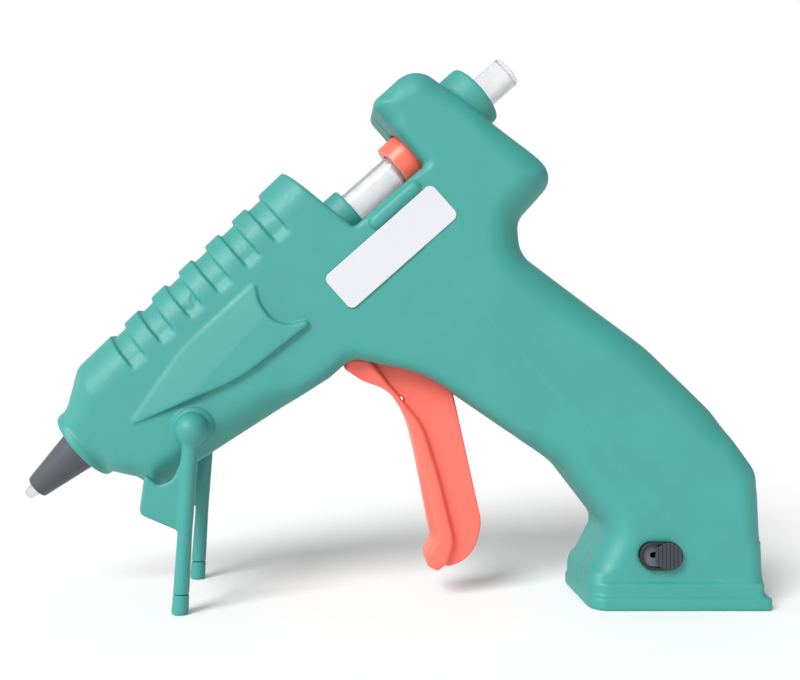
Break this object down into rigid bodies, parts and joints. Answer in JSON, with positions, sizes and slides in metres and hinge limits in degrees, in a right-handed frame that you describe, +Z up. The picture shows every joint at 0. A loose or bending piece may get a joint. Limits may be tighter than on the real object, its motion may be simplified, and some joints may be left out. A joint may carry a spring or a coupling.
{
  "type": "glue gun",
  "caption": "Hot-melt glue gun with a slanted barrel, a finger trigger that feeds the glue stick, a wide flat foot and a fold-out wire-style front stand.",
  "frame": {"origin": "on the table plane, under the middle of the whole gun's box, midway between the two casing halves", "axes": "+X from the nozzle towards the grip, +Y from the near casing half to the far one, +Z up"},
  "size_m": [0.2492, 0.0548, 0.1846],
  "materials": {
    "casing": "fine-grained teal moulding",
    "steel": "bright zinc-plated steel",
    "label": "blank white label",
    "nozzle_rubber": "dark grey heat-resistant rubber",
    "nozzle_metal": "turned metal tip",
    "chamber_metal": "die-cast",
    "bracket_board": "heat-resistant board",
    "heater_wrap": "insulating film",
    "silicone": "red silicone rubber",
    "live_lead": "brown insulated wire",
    "neutral_lead": "blue insulated wire",
    "dark_plastic": "charcoal plastic",
    "brass": "plated contact",
    "trigger_plastic": "coral moulding",
    "carriage_plastic": "orange moulding",
    "glue": "translucent hot-melt glue",
    "stand_plastic": "teal moulding"
  },
  "bodies": {
    "casing": {"left_casing": "casing", "right_casing": "casing", "casing_screws": "steel", "label_plate": "label", "nozzle_cover": "nozzle_rubber", "nozzle_tip": "nozzle_metal", "melt_chamber": "chamber_metal", "chamber_brackets": "bracket_board", "heater": "heater_wrap", "heater_clip": "steel", "inlet_sleeve": "silicone", "thermal_fuse": "steel", "lead_to_switch": "live_lead", "lead_to_fuse": "live_lead", "lead_to_heater": "live_lead", "lead_neutral": "neutral_lead", "power_inlet": "dark_plastic", "inlet_pins": "brass", "switch_bezel": "dark_plastic", "switch_housing": "dark_plastic", "trigger_pin": "steel", "trigger_spring": "steel"},
    "trigger": {"trigger": "trigger_plastic", "drive_pin": "steel"},
    "carriage": {"feed_carriage": "carriage_plastic", "jaw_pin": "steel"},
    "jaw": {"grip_jaw": "steel"},
    "stick": {"glue_stick": "glue"},
    "stand": {"stand_bail": "stand_plastic", "stand_feet": "stand_plastic"},
    "switch": {"switch_knob": "dark_plastic"}
  },
  "joints": [
    {"name": "trigger_pull", "type": "hinge", "parent": "casing", "child": "trigger", "pos_m": [-0.0116, 0, 0.0876], "axis": [0, -1, 0], "range_deg": [0, 14], "stiffness_Nm_per_rad": 0.25, "springref_deg": -20.05},
    {"name": "carriage_feed", "type": "slide", "parent": "casing", "child": "carriage", "axis": [-0.749, 0, -0.6626], "range_m": [0, 0.0042]},
    {"name": "jaw_bite", "type": "hinge", "parent": "carriage", "child": "jaw", "pos_m": [0.02737, 0, 0.15038], "axis": [0, 1, 0], "range_deg": [0, 4.1]},
    {"name": "stick_slide", "type": "slide", "parent": "carriage", "child": "stick", "axis": [0.749, 0, 0.6626], "range_m": [0, 0.11]},
    {"name": "stand_fold", "type": "hinge", "parent": "casing", "child": "stand", "pos_m": [-0.0641, 0, 0.0594], "axis": [0, -1, 0], "range_deg": [0, 125]},
    {"name": "switch_slide", "type": "slide", "parent": "casing", "child": "switch", "axis": [-1, 0, 0], "range_m": [0, 0.0045]}
  ],
  "couplings": [
    {"joint": "carriage_feed", "follows": "trigger_pull", "m_per_rad": 0.0168},
    {"joint": "jaw_bite", "follows": "trigger_pull", "ratio": 0.29}
  ]
}
